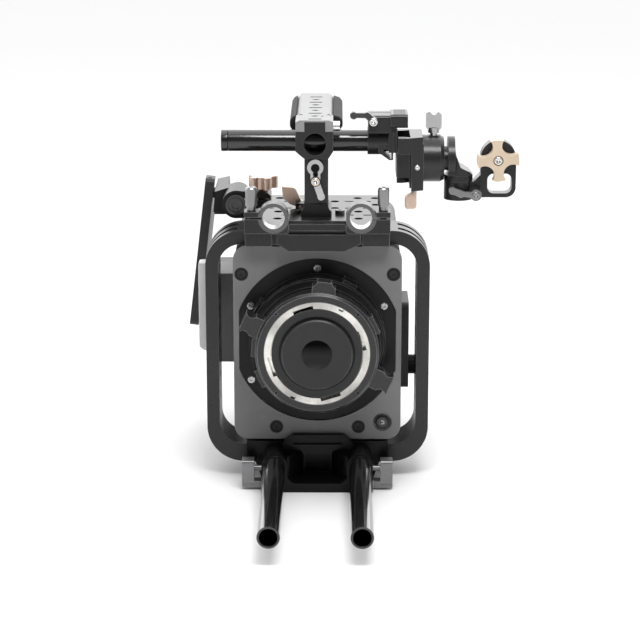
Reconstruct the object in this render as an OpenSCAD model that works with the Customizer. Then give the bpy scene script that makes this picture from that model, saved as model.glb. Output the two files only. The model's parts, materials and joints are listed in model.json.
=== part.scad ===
// Cinema camera rig: a box camera body with a lever-lock lens mount in a cage,
// on a 15 mm rod base, with a top handle, a cross rod, a monitor arm on the
// operator's side and a side screen on the assistant's side.
// Frame: origin at the tripod thread in the base's underside, below the lens
// axis; -Y is the way the lens looks, +Z is up. Millimetres.

/* [Camera body] */
// Height of the lens axis above the base's underside
lens_z = 104.4; // [104.2:0.1:104.6]
// Width of the camera's front plate
plate_w = 117.6; // [117:0.1:117.8]
// Height of the camera's front plate
plate_h = 140; // [139.6:0.1:140]
// Width of the camera's housing
body_w = 116; // [114:0.5:116]
// Wall of the camera's housing
wall = 3; // [2:0.5:4]
// Y of the housing's rear edge
body_back = 70; // [66:1:72]

/* [Lens mount] */
// Outer radius of the lens flange
flange_r = 36.4; // [36:0.1:36.6]
// Radius of the mount's throat
throat_r = 27; // [26.5:0.1:27.2]
// Radius of the lock ring's body
ring_r = 42.6; // [41.5:0.1:43.5]
// Reach of the lock ring's tabs from the lens axis
tab_r = 50; // [48:0.5:51]
// Y of the lens flange's face
flange_y = -123.6; // [-124:0.1:-123.4]

/* [Cage] */
// Outer width of the cage
cage_w = 157.4; // [157:0.1:157.6]
// Top of the cage's top bar
cage_top = 180.6; // [180.5:0.05:180.6]
// Underside of the cage's bottom bar
cage_bot = 11.6; // [11.6:0.1:12]
// Thickness of the cage's side bars
bar_t = 9; // [8:0.5:9.5]
// Outer corner radius of the cage
corner_r = 26; // [25:0.5:27]
// Thickness of the top plate
top_t = 6; // [5.5:0.1:6.5]

/* [Rods] */
// Radius of every 15 mm rod
rod_r = 7.5; // [7.49:0.01:7.5]
// Radial running gap between a rod and its bore
rod_gap = 0.05; // [0.03:0.01:0.09]
// Half the spacing of the two lens rods
rod_x = 30; // [30:0.5:30]
// Height of the lens rods' axes
rod_z = 19.4; // [19.4:0.1:19.6]
// Length of a lens rod
lens_rod_l = 200; // [195:5:205]
// Length of the cross rod
cross_l = 116.8; // [112:0.1:118]

/* [Arm] */
// Height of the cross rod's axis
cross_z = 242.6; // [242.4:0.1:242.8]
// Y of the cross rod's axis
cross_y = -68; // [-68.5:0.1:-67.5]
// Radius of the tilt drum
drum_r = 16.3; // [15.5:0.1:16.4]
// Reach of the star knob's lobes
star_r = 14.4; // [13:0.1:14.8]

/* [Hidden] */
$fn = 72;
g = 0.05;        // running gap of small shafts
star_z = 231.6;  // height of the star knob's axis
zc = lens_z;
pz0 = 31.6;      // bottom of the front plate
pz1 = pz0 + plate_h;

// ---- helpers ----
module rr(x0, x1, z0, z1, r) {
  translate([x0, z0 + r]) square([x1 - x0, z1 - z0 - 2*r]);
  translate([x0 + r, z0]) square([x1 - x0 - 2*r, z1 - z0]);
  for (x = [x0 + r, x1 - r], z = [z0 + r, z1 - r]) translate([x, z]) circle(r);
}
module xz(y0, y1) translate([0, y1, 0]) rotate([90, 0, 0]) linear_extrude(y1 - y0) children();
module yz(x0, x1) translate([x0, 0, 0]) rotate([90, 0, 90]) linear_extrude(x1 - x0) children();
module xy(z0, z1) translate([0, 0, z0]) linear_extrude(z1 - z0) children();
module cx(x0, x1, y, z, r) translate([x0, y, z]) rotate([0, 90, 0]) cylinder(r = r, h = x1 - x0);
module cy(y0, y1, x, z, r) translate([x, y1, z]) rotate([90, 0, 0]) cylinder(r = r, h = y1 - y0);
module cz(z0, z1, x, y, r) translate([x, y, z0]) cylinder(r = r, h = z1 - z0);
module bx(x0, x1, y0, y1, z0, z1) translate([x0, y0, z0]) cube([x1 - x0, y1 - y0, z1 - z0]);
module capsule(p, q, r) {
  d = [q[0] - p[0], q[1] - p[1]]; l = sqrt(d[0]*d[0] + d[1]*d[1]);
  translate(p) rotate(atan2(d[1], d[0])) translate([0, -r]) square([l, 2*r]);
  translate(p) circle(r); translate(q) circle(r);
}
// socket screw with its head's front at y0, looking along +Y
module screw_y(x, z, y0, rh, hh, rs, l, hex) difference() {
  union() { cy(y0, y0 + hh, x, z, rh); cy(y0 + hh - 0.01, y0 + hh + l, x, z, rs); }
  translate([x, y0 + hh*0.6, z]) rotate([90, 0, 0]) cylinder(r = hex, h = hh, $fn = 6);
}
module screw_z(x, y, z1, rh, hh, rs, l, hex) difference() {
  union() { cz(z1 - hh, z1, x, y, rh); cz(z1 - hh - l, z1 - hh + 0.01, x, y, rs); }
  translate([x, y, z1 - hh*0.6]) cylinder(r = hex, h = hh, $fn = 6);
}
module screw_x(x0, s, y, z, rh, hh, rs, l, hex)
  translate([x0, y, z]) rotate([0, 90*s, 0]) difference() {
    union() { translate([0, 0, -hh]) cylinder(r = rh, h = hh); translate([0, 0, -hh - l]) cylinder(r = rs, h = l + 0.01); }
    translate([0, 0, -hh*0.6]) cylinder(r = hex, h = hh, $fn = 6);
  }

plate_holes = [[-53, 151.8], [53, 151.8], [-29, 40.7], [29, 40.7]];
collar_holes = [[0, 155.8], [-46.6, 128.8], [46.6, 128.8], [-46.6, 75], [46.6, 75]];

// ---- camera body ----
module body_shell() color([0.23, 0.23, 0.24]) difference() {
  union() {
    xz(-84, body_back) rr(-body_w/2, body_w/2, 32.5, 170.5, 9);
    // ears and pin of the media door's hinge
    for (z = [46, 114.3]) bx(body_w/2 - 0.5, 62.6, 62.5, 66.5, z, z + 3.7);
    cz(47, 117, 60.6, 64.5, 1);
  }
  xz(-84 + wall, body_back + 1) rr(-body_w/2 + wall, body_w/2 - wall, 32.5 + wall, 170.5 - wall, 6);
  cy(-85, -80, 0, zc, throat_r);
  for (p = plate_holes) cy(-85, -80, p[0], p[1], 2.1);
  for (p = collar_holes) cy(-85, -80, p[0], p[1], 1.6);
  bx(-body_w/2 - 1, -body_w/2 + wall + 1, -34, 4, 90, 128);   // air way to the side module
  bx(body_w/2 - wall - 1, body_w/2 + 1, 8, 58, 52, 112);      // media slot behind its door
  for (y = [-30, -10, 10], x = [-28, 28]) cz(165, 171, x, y, 2.2);
  cy(-85, -80, 46, 44.3, 2.2);
}
module front_plate() color([0.36, 0.37, 0.38]) difference() {
  xz(-88, -84) rr(-plate_w/2, plate_w/2, pz0, pz1, 10);
  xz(-89, -83) intersection() { translate([0, zc - 0.2]) circle(59); translate([-55, 0]) square([110, 200]); }
  for (p = plate_holes) { cy(-89, -86, p[0], p[1], 4.2); cy(-87, -83, p[0], p[1], 2.1); }
  cy(-89, -86, 46, 44.3, 4.15); cy(-86.1, -83, 46, 44.3, 2.2);
  difference() { cy(-89, -87.4, 46, 44.3, 6.6); cy(-90, -87, 46, 44.3, 4.9); }
}
module rear_panel() color([0.2, 0.2, 0.21]) difference() {
  union() {
    xz(body_back, body_back + 4) rr(-body_w/2, body_w/2, 32.5, 170.5, 9);
    bx(-25, 25, 26, body_back, 61.7, 136.3);
  }
  bx(-22.6, 22.6, 28.6, body_back + 5, 63.6, 134.4);
  for (z = [146, 158]) for (x = [-36, -14, 10]) cy(body_back - 1, body_back + 5, x, z, 3.05);
  for (x = [-50, 50], z = [42, 161]) { cy(body_back + 2, body_back + 5, x, z, 3.1); }
  for (i = [0:5]) bx(32, 50, body_back - 1, body_back + 5, 64 + 11*i, 68 + 11*i);
}
module mount_collar() color([0.1, 0.1, 0.105]) difference() {
  union() {
    xz(-86.4, -84) intersection() { translate([0, zc - 0.2]) circle(58.8); translate([-54.8, 0]) square([109.6, 200]); }
    cy(-100, -86.4, 0, zc, 47.5);
    translate([0, -110, zc]) rotate([-90, 0, 0]) cylinder(r1 = 44, r2 = 46, h = 10);
    for (a = [62, 148, 215, 330]) rotate_y(a, zc) bx(43, 49.5, -98, -86.4, -5, 5);
  }
  cy(-111, -83, 0, zc, throat_r + 2.5);
  for (p = collar_holes) { cy(-87, -85.4, p[0], p[1], 2.7); cy(-86, -83, p[0], p[1], 1.6); }
}
// turn about the lens axis, a in degrees anticlockwise seen from the front
module rotate_y(a, z) translate([0, 0, z]) rotate([0, -a, 0]) children();
module mount_flange() color([0.8, 0.8, 0.8]) difference() {
  union() { cy(flange_y, -119, 0, zc, flange_r); cy(-119.01, -110, 0, zc, 34); }
  cy(-125, -109, 0, zc, throat_r); cy(-125, -121, 0, zc, 31.75);
  for (a = [17, 107, 197, 287]) rotate_y(a, zc) bx(26, 33.4, -125, -118, -7, 7);
  for (a = [62, 242]) rotate_y(a, zc) bx(34.2, 38, -125, -121, -1.6, 1.6);
}
module lock_ring() color([0.13, 0.13, 0.14]) difference() {
  union() {
    cy(-122.4, -110.1, 0, zc, ring_r);
    translate([0, -122.39, zc]) rotate([90, 0, 0]) cylinder(r1 = ring_r, r2 = ring_r - 1.6, h = 1.6);
    rotate_y(84, zc) difference() {
      bx(38, tab_r, -121, -111, -8, 8);
      for (s = [-1, 1]) translate([tab_r + 0.6, -122, s*9.4]) rotate([-90, 0, 0]) cylinder(r = 4.4, h = 12);
    }
    for (a = [157, 335]) rotate_y(a, zc) difference() {
      bx(38, tab_r + 5.5, -121, -111, -7, 7);
      for (s = [-1, 1]) translate([tab_r + 1.5, -122, s*9.6]) rotate([-90, 0, 0]) cylinder(r = 4.4, h = 12);
    }
    for (a = [176, 206, 26]) rotate_y(a, zc) bx(38, ring_r + 2.6, -119, -112, -6.5, 6.5);
  }
  cy(-125, -117.95, 0, zc, flange_r + g);
  cy(-118.95, -109, 0, zc, flange_r + g - 2.35);
  for (a = [45, 135, 225, 315]) rotate_y(a, zc) cy(-125, -121, 39.6, 0, 0.9);
}
module body_cap() color([0.09, 0.09, 0.095]) difference() {
  union() {
    cy(-123.1, -121.05, 0, zc, 31.3);
    cy(-126.6, -123, 0, zc, 24.7);
    translate([0, -126.59, zc]) rotate([90, 0, 0]) cylinder(r1 = 24.7, r2 = 23.9, h = 0.8);
    cy(-121.06, -117, 0, zc, throat_r - 0.2);
  }
  translate([0, -144.97, zc]) sphere(20.58);
  cy(-122.4, -116, 0, zc, 24);
}
module plate_screws() color([0.12, 0.12, 0.12]) for (p = plate_holes) screw_y(p[0], p[1], -88, 4, 2, 2, 6, 1.7);
module collar_screws() color([0.75, 0.75, 0.75]) for (p = collar_holes) screw_y(p[0], p[1], -87.3, 2.5, 1.9, 1.5, 4, 1.1);
module assign_button() color([0.3, 0.3, 0.31]) { cy(-89.3, -87.3, 46, 44.3, 4); cy(-87.31, -82, 46, 44.3, 2.1); }
module image_sensor() color([0.12, 0.2, 0.3]) { bx(-19, 19, -71.6, -70, zc - 13.5, zc + 13.5); bx(-24, 24, -70, -66.6, zc - 18, zc + 18); }
module nd_filter() color([0.3, 0.3, 0.32]) difference() {
  bx(-38, 38, -81, -70, zc - 30, zc + 30);
  bx(-21, 21, -82, -69, zc - 15, zc + 15);
}
module heat_sink() color([0.7, 0.7, 0.7]) { bx(-30, 30, -66.6, -62, zc - 26, zc + 26); for (i = [0:8]) bx(-30 + 7.25*i, -28 + 7.25*i, -62.01, -46, zc - 26, zc + 26); }
module main_board() color([0.1, 0.35, 0.2]) {
  bx(-52, 52, -46, -44.4, 45, 160);
  for (x = [-34, -6, 22], z = [60, 120]) bx(x, x + 16, -44.41, -42.4, z, z + 16);
  bx(-10, 10, -44.41, 26, 72, 74);
}
module fan_frame() color([0.1, 0.1, 0.1]) difference() {
  bx(-76, -60, -36, 6, 88, 130);
  cx(-77, -62, -15, 109, 19.6);
  for (y = [-29, -1], z = [95, 123]) bx(-63, -59, y - 4, y + 4, z - 4, z + 4);
  cx(-64, -59, -15, 109, 2.05);
}
module fan_rotor() color([0.2, 0.2, 0.2]) {
  cx(-75, -63.5, -15, 109, 8);
  cx(-63.51, -60.5, -15, 109, 2);
  for (a = [0:45:315]) translate([-74, -15, 109]) rotate([a, 0, 0]) bx(0, 9, -0.8, 0.8, 7.6, 18.8);
}
module side_module() color([0.17, 0.17, 0.18]) difference() {
  bx(-80, -58, -42, 10, 75, 141);
  bx(-81, -60, -38, 7.5, 80, 138);
  bx(-61, -57, -34, 4, 90, 128);
}
module side_cover() color([0.55, 0.55, 0.57]) difference() {
  intersection() {
    yz(-86, -80) polygon([[-41.5, 85], [-39.5, 83], [10, 83], [12, 85], [12, 136], [-37.5, 150.5], [-41.5, 148.5]]);
    xz(-42, 13) { rr(-86, -76, 86, 150.5, 4); polygon([[-86, 95], [-86, 86.5], [-82.5, 83], [-79, 83], [-79, 95]]); }
  }
  for (i = [0:6]) bx(-87, -79, -34, 2, 90 + 6*i, 93 + 6*i);
}
module battery_pack() color([0.11, 0.11, 0.11]) difference() {
  union() { bx(-22.4, 22.4, 29, 94, 63.8, 134.2); }
  for (s = [-1, 1]) bx(s > 0 ? 20.9 : -23, s > 0 ? 23 : -20.9, 78, 95, 92, 106);
  bx(-15, 15, 92.8, 95, 70, 74);
}
module connectors() color([0.7, 0.7, 0.68]) for (z = [146, 158], x = [-36, -14, 10]) difference() {
  union() { cy(body_back - 6, body_back + 4, x, z, 3); cy(body_back + 4, body_back + 12, x, z, 4.6); }
  cy(body_back + 5, body_back + 13, x, z, 3.4);
}
module control_panel() color([0.28, 0.28, 0.29]) difference() {
  yz(58, 65.6) rr(-42, 0, 55, 119, 5);
  bx(64.4, 67, -36, -6, 84, 114);
  cx(57, 67, -36, 72, 2.55);
  cx(57, 67, -18, 64, 3.1); cx(64, 67, -18, 64, 4);
}
module menu_dial() color([0.2, 0.2, 0.2]) {
  difference() { cx(65.8, 70.6, -36, 72, 7); for (a = [0:30:330]) translate([65, -36, 72]) rotate([a, 0, 0]) bx(0, 7, -0.5, 0.5, 6.5, 8); }
  cx(59, 65.81, -36, 72, 2.5);
}
module rec_button() color([0.75, 0.1, 0.08]) { cx(65.8, 67.6, -18, 64, 3.8); cx(59.5, 65.81, -18, 64, 3); }
module media_door() color([0.25, 0.25, 0.26]) difference() {
  union() { yz(58.1, 61.3) { rr(2, 61.4, 46, 118, 4); translate([58, 50]) square([6.5, 64]); } cz(50, 114, 60.6, 64.5, 2.2); }
  bx(60.4, 62, 4, 7, 74, 90);
  cz(49, 115, 60.6, 64.5, 1.05);
}

// ---- cage ----
module cage_ring(side) intersection() {
  difference() {
    xz(-78, -44) difference() {
      rr(-cage_w/2, cage_w/2, cage_bot, cage_top, corner_r);
      rr(-cage_w/2 + bar_t, cage_w/2 - bar_t, cage_bot + 13, cage_top - 9.5, 17);
    }
    // long slots that follow the outside of each corner
    for (s = [1, -1], v = [1, -1]) translate([s*(cage_w/2 - corner_r), 0, v > 0 ? cage_top - corner_r : cage_bot + corner_r])
      rotate([90, 0, 0]) for (y = [51.2, 65.8]) translate([0, 0, y])
        rotate([0, 0, s > 0 ? (v > 0 ? 8 : -82) : (v > 0 ? 98 : 188)]) rotate_extrude(angle = 74) translate([corner_r - 3.2, 0]) square([5, 5.6]);
    for (z = [56, 72, 88, 120, 136, 150], s = [1, -1]) cx(s > 0 ? 68 : -80, s > 0 ? 80 : -68, -61, z, 3.17);
    for (z = [104], s = [1, -1]) cx(s > 0 ? 68 : -80, s > 0 ? 80 : -68, -61, z, 4.76);
    // seat for the top plate's tongue, and the screws' holes
    bx(side > 0 ? -1 : -48.05, side > 0 ? 48.05 : 1, -66.05, -43, cage_top - 4.55, cage_top + 1);
    cz(cage_top - 12, cage_top + 1, side*40, -61, 2.1); cz(cage_top - 12, cage_top + 1, side*15.6, -72, 2.1);
    cx(50*side > 0 ? 49 : -60, 50*side > 0 ? 60 : -49, -61, 18, 2.1);
  }
  union() {
    bx(side > 0 ? 0.03 : -100, side > 0 ? 100 : -0.03, -90, -30, 60, 200);
    bx(side > 0 ? 50 : -100, side > 0 ? 100 : -50, -90, -30, 0, 61);
  }
}
module cage_left() color([0.16, 0.16, 0.165]) cage_ring(-1);
module cage_right() color([0.16, 0.16, 0.165]) cage_ring(1);
module cage_screws() color([0.15, 0.15, 0.15]) {
  for (x = [-40, 40]) screw_z(x, -61, cage_top - 0.2, 3.4, 2.6, 2, 5.5, 1.5);
  for (x = [-15.6, 15.6]) screw_z(x, -72, 194.2, 3.4, 2.6, 2, 18.4, 1.5);
}
module top_plate() color([0.2, 0.2, 0.205]) difference() {
  union() {
    xy(cage_top - top_t, cage_top) rr(-48, 48, -43.95, 45, 5);
    bx(-48, 48, -66, -35, cage_top - 4.5, cage_top);
    bx(-36, 36, -43, 30, 170.5, cage_top - top_t + 0.01);
  }
  for (x = [-40, 40]) { cz(cage_top - 3, cage_top + 1, x, -61, 3.6); cz(cage_top - 5, cage_top, x, -61, 2.1); }
  // accessory threads, 1/4 and 3/8 inch, and small slots between them
  for (x = [-29, 29], y = [-38, -14, 10, 34]) cz(169, cage_top + 1, x, y, 3.17);
  for (x = [-42, 42], y = [-14, 10, 34]) cz(169, cage_top + 1, x, y, 3.17);
  for (x = [-12, 12], y = [-26, -2, 22]) cz(169, cage_top + 1, x, y, 3.17);
  for (y = [-38, -14, 10, 34]) cz(169, cage_top + 1, 0, y, 4.76);
  for (x = [-35.5, -22.5, 22.5, 35.5], y = [-26, -2, 22]) if (!(x == -35.5 && y == -26)) xy(169, cage_top + 1) capsule([x - 1.9, y], [x + 1.9, y], 1.4);
}
module top_bracket() color([0.11, 0.11, 0.115]) difference() {
  union() {
    // front bar, rear bar, and the riser that carries the handle
    xz(-99, -90) polygon([[-27.8, 182.5], [29.8, 182.5], [29.8, 175.8], [19, 170.6], [-19.6, 170.6], [-27.8, 175.8]]);
    xz(-94, -82) translate([-50, 174]) square([100, 7.8]);
    bx(-19.9, 19.9, -96, -56, cage_top + 0.05, 191.6);
    xz(-99.5, -95.9) rr(-19.9, 19.9, 185.2, 190, 2.3);
    for (s = [-1, 1]) {
      xz(-100, -88) { translate([s*rod_x, 194.3]) circle(10.2); translate([s > 0 ? 19.8 : -50.2, 183.2]) square([30.4, 8.1]); }
      xz(-97.5, -88) translate([s > 0 ? 31.2 : -49.8, 173.8]) square([18.6, 10]);
      xz(-100, -88) translate([s > 0 ? 40.2 : -50.2, 190]) square([10, 8.4]);
    }
  }
  for (s = [-1, 1]) {
    cy(-101, -81, s*rod_x, 194.3, rod_r + rod_gap);
    translate([s*rod_x, -99.4, 194.3]) rotate([90, 0, 0]) cylinder(r1 = rod_r + rod_gap, r2 = 9.3, h = 1.7);
    bx(s > 0 ? 38 : -51, s > 0 ? 51 : -38, -101, -87.9, 193.3, 194.6);
    cz(184, 199, s*45.4, -94, 2.55);
    cz(180, 192, s*15.6, -72, 2.1);
  }
}
module thumbscrew(x) difference() {
  union() {
    cz(186, 199, x, -94, 2.5); cz(198.6, 202, x, -94, 3.2);
    cz(201.9, 213.6, x, -94, 4); translate([x, -94, 213.59]) cylinder(r1 = 4, r2 = 3.1, h = 1.2);
  }
  translate([x, -94, 212]) cylinder(r = 1.6, h = 4, $fn = 6);
}
module rod_screw_left() color([0.62, 0.62, 0.63]) thumbscrew(-45.4);
module rod_screw_right() color([0.62, 0.62, 0.63]) thumbscrew(45.4);

// ---- handle ----
module handle_foot() color([0.1, 0.1, 0.105]) difference() {
  union() {
    xz(-84, -56.2) difference() {
      translate([-11.3, 191.65]) square([21, 8.95]);
      translate([-13.2, 199.6]) circle(4.2); translate([11.6, 199.6]) circle(4.2);
    }
    bx(-15.5, -9, -66, -56.2, 191.65, 197.4);
  }
  cy(-68, -56, -12, 194.4, 1.55);
}
module handle_post() color([0.12, 0.12, 0.125]) difference() {
  union() {
    bx(-9, 7.4, -82, -56, 200.6, 232.5);
    xz(-84, -56) polygon([[-15.1, 251.4], [10.8, 251.4], [10.8, 237.6], [7.4, 232.4], [-9, 232.4], [-15.1, 237.6]]);
    bx(-9, 5.4, -84, -76.2, 251.3, 258);
  }
  cx(-16, 12, cross_y, cross_z, rod_r + rod_gap);
  cy(-85, -70, -1.7, cross_z, 7.7);
  cy(-83, -70, -1.3, 217, 2.05);
  cy(-83, -78, -1.5, 227.4, 3);
  cx(4, 12, -79.6, 254.6, 1.6);
  for (x = [-11.8, 7.8]) cz(246, 252, x, -60, 1.6);
  bx(-6, 3.4, -70, -55, 203, 228);
}
module handle_release() color([0.55, 0.4, 0.33]) {
  xz(-55.9, -50.4) { translate([-12, 194.4]) circle(2.5); polygon([[-25.3, 206.3], [-24.4, 199], [-19.6, 194.9], [-12, 192], [-10.2, 194], [-15.8, 205.8], [-17.4, 206.6], [-24.4, 207.2]]); }
  cy(-66, -55.89, -12, 194.4, 1.5);
}
module handle_lever() color([0.72, 0.72, 0.72]) {
  difference() {
    xz(-86, -82.3) {
      polygon([[-4.9, 226], [1.9, 226], [2.1, 217], [-4.7, 217]]); translate([-1.3, 217]) circle(3.6); translate([-1.5, 226.7]) circle(5.6);
      polygon([[-3.5, 216.4], [1.1, 217.8], [4.9, 207.2], [0.4, 205.6]]); translate([2.6, 206.4]) circle(2.6);
    }
    xz(-87, -84.6) { translate([-1.5, 226.4]) circle(3); polygon([[-3.2, 225], [0.2, 225], [0.3, 222], [-2.9, 222]]); translate([-1.3, 222.2]) circle(1.8); }
  }
  cy(-86.8, -86, -1.3, 217, 3); cy(-82.31, -72, -1.3, 217, 2);
}
module handle_spine() color([0.86, 0.86, 0.87]) difference() {
  union() {
    bx(-15.1, 10.8, -84, -55.9, 251.45, 258);
    xz(-55.98, 35) polygon([[-15.1, 247], [-12.6, 244.6], [8.3, 244.6], [10.8, 247], [10.8, 256.4], [8, 259.2], [-12.3, 259.2], [-15.1, 256.4]]);
    xz(-84, -56) polygon([[-15.1, 257.9], [10.8, 257.9], [8, 259.2], [-12.3, 259.2]]);
  }
  bx(-9.05, 5.45, -85, -76.15, 251, 258.05);
  for (y = [-77.8, -53.6, -29.7, -5.7, 18.4]) xy(257, 260) capsule([-5.2, y], [1.6, y], 1.5);
  for (y = [-65.7, -41.6, -17.7, 6.4]) cz(257.8, 260, -1.8, y, 2.6);
  cz(252, 260, 3.2, -66, 1.2);
  bx(-9, 5, -48, 28, 244, 253);
  cx(5, 12, -79.6, 254.6, 1.6);
  for (x = [-11.8, 7.8]) { cz(251, 260, x, -60, 1.6); }
}
module handle_grips() color([0.06, 0.06, 0.06]) {
  xz(-55.5, 33) polygon([[-15.15, 245.5], [-16.5, 245.5], [-19.5, 250], [-19.5, 254.4], [-17.6, 257], [-15.15, 258.2]]);
  xz(-55.5, 33) polygon([[10.85, 245.5], [13, 245.5], [17.4, 250], [17.4, 254.4], [15, 257], [10.85, 258.2]]);
}
module handle_screw() color([0.65, 0.65, 0.65]) { cx(11, 15.4, -79.6, 254.6, 3.4); cx(5.6, 11.01, -79.6, 254.6, 1.55); }

// ---- cross rod and arm ----
module cross_rod() color([0.05, 0.05, 0.05]) difference() {
  union() { cx(50 - cross_l, 50, cross_y, cross_z, rod_r); }
  cx(49 - cross_l, 51, cross_y, cross_z, 5);
  difference() { cx(54.4 - cross_l, 54.9 - cross_l, cross_y, cross_z, 9); cx(54 - cross_l, 55 - cross_l, cross_y, cross_z, rod_r - 0.3); }
}
module arm_clamp() color([0.14, 0.14, 0.145]) difference() {
  union() {
    cx(34.6, 51.1, cross_y, cross_z, 9.6);
    yz(34.9, 50.4) rr(-81.5, -58, 249, 262, 2);
    xz(-78, -58) polygon([[42, 236], [49.5, 230.6], [52.2, 230.6], [52.2, 240], [42, 240]]);
    bx(49, 54.2, -80, -58, 236, 253.4);
    yz(50.3, 62) rr(-84.4, -60, 253.9, 263.2, 2);
  }
  cx(34, 50.2, cross_y, cross_z, rod_r + rod_gap);
  bx(34, 50.45, cross_y - 0.7, cross_y + 0.7, 249, 263);
  for (y = [-82.2, -78.4, -74.6, -70.8, -67, -63.2]) bx(52.4, 60.6, y, y + 1.4, 262.2, 264);
  cy(-83, -57, 38.4, 258.5, 2.05);
  xz(-79, -57) polygon([[50, 231.6], [51.4, 231.6], [51.4, 238], [45, 238]]);
  // seat for the rail's tongue
  bx(52.2, 55, -81, -57, 237, 251.4);
}
module clamp_lever() color([0.25, 0.25, 0.26]) {
  cy(-86, -82, 38.4, 258.5, 3.2);
  cy(-82.01, -60, 38.4, 258.5, 2);
  xz(-85.4, -82.2) union() { capsule([38.4, 259.2], [34, 262.8], 2.2); capsule([34, 262.8], [25.4, 262.8], 1.7); }
  cy(-86, -81.6, 24.8, 262.8, 2.5);
}
module rail_head() polygon([[54.4, -84.4], [58.2, -84.4], [64, -87.4 + 5.2], [64, -64.6], [58.2, -62.4], [54.4, -62.4]]);
module slide_rail() color([0.7, 0.7, 0.71]) {
  bx(52.25, 54.3, -80.8, -57.2, 237.2, 251.2);
  bx(54.29, 55, -84.4, -57.2, 220, 252.4);
  xy(219.5, 236.2) { translate([54.9, -83.6]) square([4.4, 24.6]); polygon([[59.2, -83.6], [63.6, -86], [63.6, -56.6], [59.2, -59]]); }
}
module slide_plate() color([0.13, 0.13, 0.135]) difference() {
  union() { bx(59.5, 73, -85, -53, 210.7, 247.9); xy(210.7, 247.9) polygon([[55.4, -91], [59.6, -91], [73, -85], [73, -84], [59.6, -84.9], [55.4, -87.4]]); bx(55.4, 59.6, -58.8, -53, 210.7, 247.9); bx(55.4, 60, -88.4, -83.75, 237, 247.9); }
  xy(205, 250) polygon([[59.1, -83.7], [63.75, -86.2], [63.75, -56.4], [59.1, -58.9]]);
  xy(205, 250) translate([54, -83.7]) square([5.3, 24.8]);
  bx(54, 64.5, -93, -83.6, 210, 236.8);
  bx(60.2, 68.7, -86, -76.8, 210, 217);
  bx(72.4, 74, -86, -52, 243, 249);
  cx(68, 74, cross_y - 0.5, 230.4, 4.05);
  cy(-92, -84, 68.6, 227, 1.9);
}
module slide_release() color([0.72, 0.62, 0.54]) union() {
  xz(-84.6, -77.2) polygon([[66.4, 214.4], [68.5, 214.4], [68.5, 199], [67.2, 197.5], [61.8, 197.5], [60.5, 199], [60.5, 205.9], [64.6, 208.1], [66.4, 210]]);
}
module tilt_drum() color([0.2, 0.2, 0.205]) difference() {
  union() {
    translate([84.9, cross_y - 0.5, 230.4]) rotate([0, 90, 0]) cylinder(r1 = drum_r, r2 = drum_r - 1.4, h = 2.5);
    cx(73, 84.91, cross_y - 0.5, 230.4, drum_r);
  }
  cx(72, 88, cross_y - 0.5, 230.4, 4.05);
  cz(236, 248, 80.3, cross_y - 0.5, 2.55);
  bx(76, 84.6, cross_y - 1.2, cross_y + 0.2, 241, 248);
}
module drum_screw() color([0.72, 0.72, 0.72]) union() {
  cz(237, 248.6, 80.3, cross_y - 0.5, 2.5);
  cz(248.4, 252, 80.3, cross_y - 0.5, 4);
  xz(cross_y - 2.7, cross_y + 1.7) { polygon([[74.9, 252.4], [76.2, 250.4], [84.4, 250.4], [85.7, 252.4], [85.7, 261], [83.4, 263.3], [81, 261], [79.6, 261], [77.2, 263.3], [74.9, 262.4]]); }
}
module tilt_bracket() color([0.13, 0.13, 0.135]) difference() {
  union() {
    cx(90.2, 95, cross_y - 0.5, 230.4, 15.3);
    cx(87.7, 90.3, cross_y - 0.5, 230.4, 8.4);
    cx(68.6, 87.8, cross_y - 0.5, 230.4, 4);
    intersection() {
      xz(-80, -56) polygon([[90.2, 219.2], [107.8, 219.2], [105.4, 222], [98.8, 225.6], [95.6, 234], [95, 240], [90.2, 240]]);
      cz(200, 250, 97.9, cross_y - 0.5, 11);
    }
    cz(215.2, 219.3, 97.9, cross_y - 0.5, 10);
  }
  cz(214, 219.9, 97.9, cross_y - 0.5, 3.05);
}
module loop_bracket() color([0.12, 0.12, 0.125]) difference() {
  union() {
    cz(202, 215, 97.9, cross_y - 0.5, 9.9);
    cz(214.9, 219.7, 97.9, cross_y - 0.5, 3);
    xz(-74, -63) polygon([[97.9, 203], [118, 204], [118, 221.6], [112.9, 219.6], [108.3, 214.8], [97.9, 214.8]]);
    xz(-75.8, -66) { rr(112.9, 137.4, 204.1, 234, 7); translate([112.9, 204.1]) square([9, 9]); translate([124.9, 232]) circle(12.1); }
    xz(-81, -70) translate([109.4, 207.4]) circle(4);
  }
  xz(-80, -60) rr(117.7, 134.5, 206.9, 220.8, 4.4);
  cy(-80, -60, 124.3, star_z, 3.22);
  cy(-90, -60, 109.4, 207.4, 2.05);
  bx(107.9, 113.5, -83, -77.3, 200, 215);
}
module swivel_lever() color([0.55, 0.55, 0.56]) {
  cy(-86.4, -82, 109.4, 207.4, 3.8);
  cy(-82.01, -66, 109.4, 207.4, 2);
  xz(-85.4, -82.2) {
    polygon([[109.2, 209.2], [109.2, 205.6], [99, 206.5], [99, 209.9]]); translate([99, 208.2]) circle(2.5);
    polygon([[98.2, 206.1], [99.9, 210.3], [94, 212.5], [92.4, 208.4]]); translate([93.2, 210.4]) circle(2.5);
  }
}
module star_knob() color([0.87, 0.77, 0.66]) {
  difference() {
    xz(-86, -78) difference() {
      translate([124.3, star_z]) circle(star_r);
      for (a = [49.5, 139, 228.5, 319]) translate([124.3 + 13.6*cos(a), star_z + 13.6*sin(a)]) circle(6.5);
    }
    cy(-87, -84.6, 124.3, star_z, 3.5);
  }
  cy(-85.6, -84.59, 124.3, star_z, 2.9);
  cy(-78.01, -66.6, 124.3, star_z, 3.17); cy(-66.61, -65.49, 124.3, star_z, 2.7); cy(-65.5, -60, 124.3, star_z, 3.17);
}

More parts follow.
